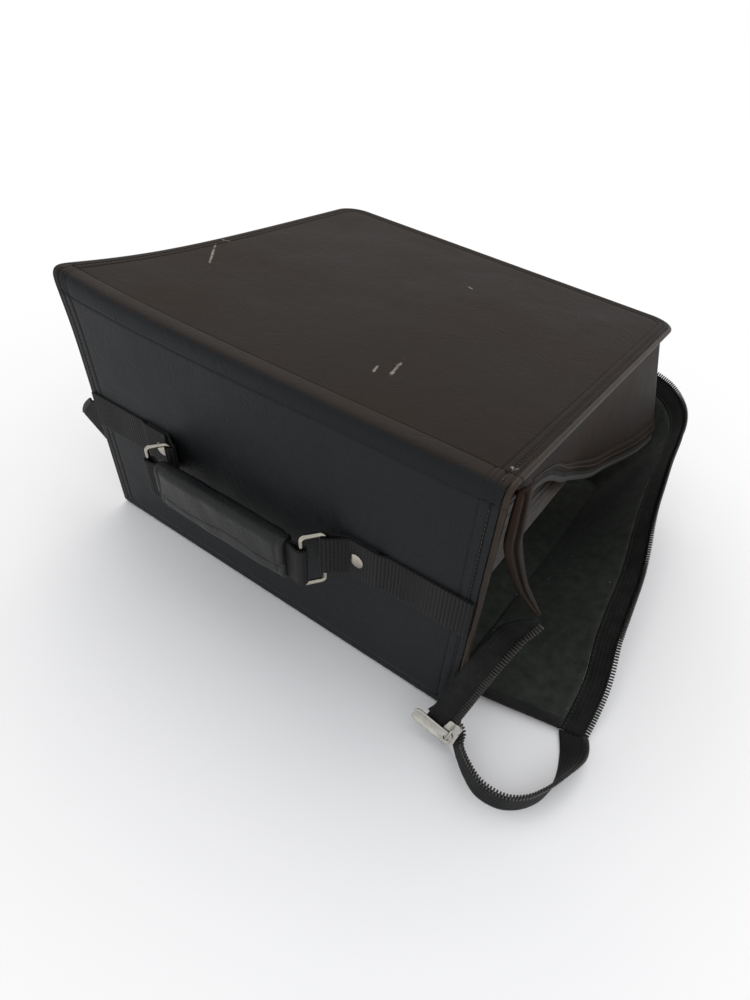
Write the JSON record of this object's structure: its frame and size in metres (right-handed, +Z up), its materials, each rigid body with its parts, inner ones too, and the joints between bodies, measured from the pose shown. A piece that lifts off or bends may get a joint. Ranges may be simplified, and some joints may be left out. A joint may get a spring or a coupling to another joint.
{
  "type": "zip-up disc storage case",
  "caption": "Large square zip-up leatherette case for discs in sleeves, with a padded carrying handle on its spine, lying open-zipped on its back cover.",
  "frame": {"origin": "centre of the back cover's underside, which is the face it lies on", "axes": "+X along the spine to the end where the zip's loose ends hang, +Y from the spine to the far side, +Z up"},
  "size_m": [0.4615, 0.4091, 0.2015],
  "materials": {
    "cover_leather": "black-brown leatherette, fine embossed grain, semi-gloss",
    "spine_leather": "black-brown leatherette, fine embossed grain, semi-gloss",
    "gusset_leather": "brown leatherette, soft creases",
    "lining": "dark grey-green woven lining",
    "board": "grey-brown bookbinder's board",
    "piping": "black vinyl piping",
    "zip_tape": "black woven zip tape",
    "zip_chain": "black nylon coil",
    "webbing": "black ribbed nylon webbing",
    "ring_metal": "nickel-plated wire",
    "rivet_metal": "nickel-plated, worn",
    "slider_metal": "gunmetal plating, worn",
    "grip_leather": "black leatherette, wavy overlap seam",
    "foam": "dark closed-cell foam",
    "sleeve": "white non-woven and clear film sleeves",
    "binding": "black binding cloth"
  },
  "bodies": {
    "back_cover": {"back_board": "board", "back_skin": "cover_leather", "back_lining": "lining", "back_piping": "piping", "lower_gusset": "gusset_leather", "lower_gusset_lining": "lining", "lower_zip_tape": "zip_tape", "lower_zip_chain": "zip_chain", "lower_zip_tail": "zip_tape", "lower_tail_chain": "zip_chain", "left_zip_end": "zip_tape"},
    "spine": {"spine_board": "board", "spine_skin": "spine_leather", "spine_lining": "lining", "spine_piping": "piping", "left_strap": "webbing", "right_strap": "webbing", "strap_rivets": "rivet_metal", "binding_strip": "binding", "bottom_sleeve_binding": "binding", "bottom_sleeves": "sleeve", "upper_zip_tail": "zip_tape", "upper_tail_chain": "zip_chain", "lower_tail_end": "zip_tape"},
    "front_cover": {"front_board": "board", "front_skin": "cover_leather", "front_lining": "lining", "front_piping": "piping", "upper_gusset": "gusset_leather", "upper_gusset_lining": "lining", "upper_zip_tape": "zip_tape", "upper_zip_chain": "zip_chain"},
    "middle_sleeve_bundle": {"middle_sleeve_binding": "binding", "middle_sleeves": "sleeve"},
    "top_sleeve_bundle": {"top_sleeve_binding": "binding", "top_sleeves": "sleeve"},
    "left_ring": {"left_ring": "ring_metal"},
    "right_ring": {"right_ring": "ring_metal"},
    "handle": {"handle_webbing": "webbing", "handle_grip": "grip_leather", "handle_core": "foam"},
    "slider": {"slider_body": "slider_metal", "slider_bridge": "slider_metal"},
    "pull_tab": {"pull_tab": "slider_metal"}
  },
  "joints": [
    {"name": "spine_fold", "type": "hinge", "parent": "back_cover", "child": "spine", "pos_m": [0, -0.165, 0], "axis": [1, 0, 0], "range_deg": [0, 62]},
    {"name": "cover_open", "type": "hinge", "parent": "spine", "child": "front_cover", "pos_m": [0, -0.1818, 0.2015], "axis": [1, 0, 0], "range_deg": [0, 125]},
    {"name": "middle_sleeves_turn", "type": "hinge", "parent": "spine", "child": "middle_sleeve_bundle", "pos_m": [0, -0.16759, 0.1255], "axis": [1, 0, 0], "range_deg": [0, 23]},
    {"name": "top_sleeves_turn", "type": "hinge", "parent": "spine", "child": "top_sleeve_bundle", "pos_m": [0, -0.16954, 0.1489], "axis": [1, 0, 0], "range_deg": [0, 56]},
    {"name": "left_ring_swing", "type": "hinge", "parent": "spine", "child": "left_ring", "pos_m": [-0.069, -0.18305, 0.09613], "axis": [0, -0.0831, 0.9965], "range_deg": [-13, 87]},
    {"name": "right_ring_swing", "type": "hinge", "parent": "spine", "child": "right_ring", "pos_m": [0.069, -0.18305, 0.09613], "axis": [0, -0.0831, 0.9965], "range_deg": [-13, 87]},
    {"name": "handle_swing", "type": "hinge", "parent": "left_ring", "child": "handle", "pos_m": [-0.07803, -0.19468, 0.09145], "axis": [0, -0.0831, 0.9965], "range_deg": [-87, 13]},
    {"name": "slider_travel", "type": "slide", "parent": "spine", "child": "slider", "axis": [0.2041, 0.3604, 0.9102], "range_m": [0, 0.03]},
    {"name": "pull_tab_swivel", "type": "hinge", "parent": "slider", "child": "pull_tab", "pos_m": [0.17713, -0.19164, 0.01361], "axis": [0.0977, -0.9326, 0.3474], "range_deg": [-45, 35]}
  ],
  "couplings": [
    {"joint": "middle_sleeves_turn", "follows": "cover_open", "ratio": 0.18},
    {"joint": "top_sleeves_turn", "follows": "cover_open", "ratio": 0.44},
    {"joint": "right_ring_swing", "follows": "left_ring_swing", "ratio": 1},
    {"joint": "handle_swing", "follows": "left_ring_swing", "ratio": -1}
  ]
}
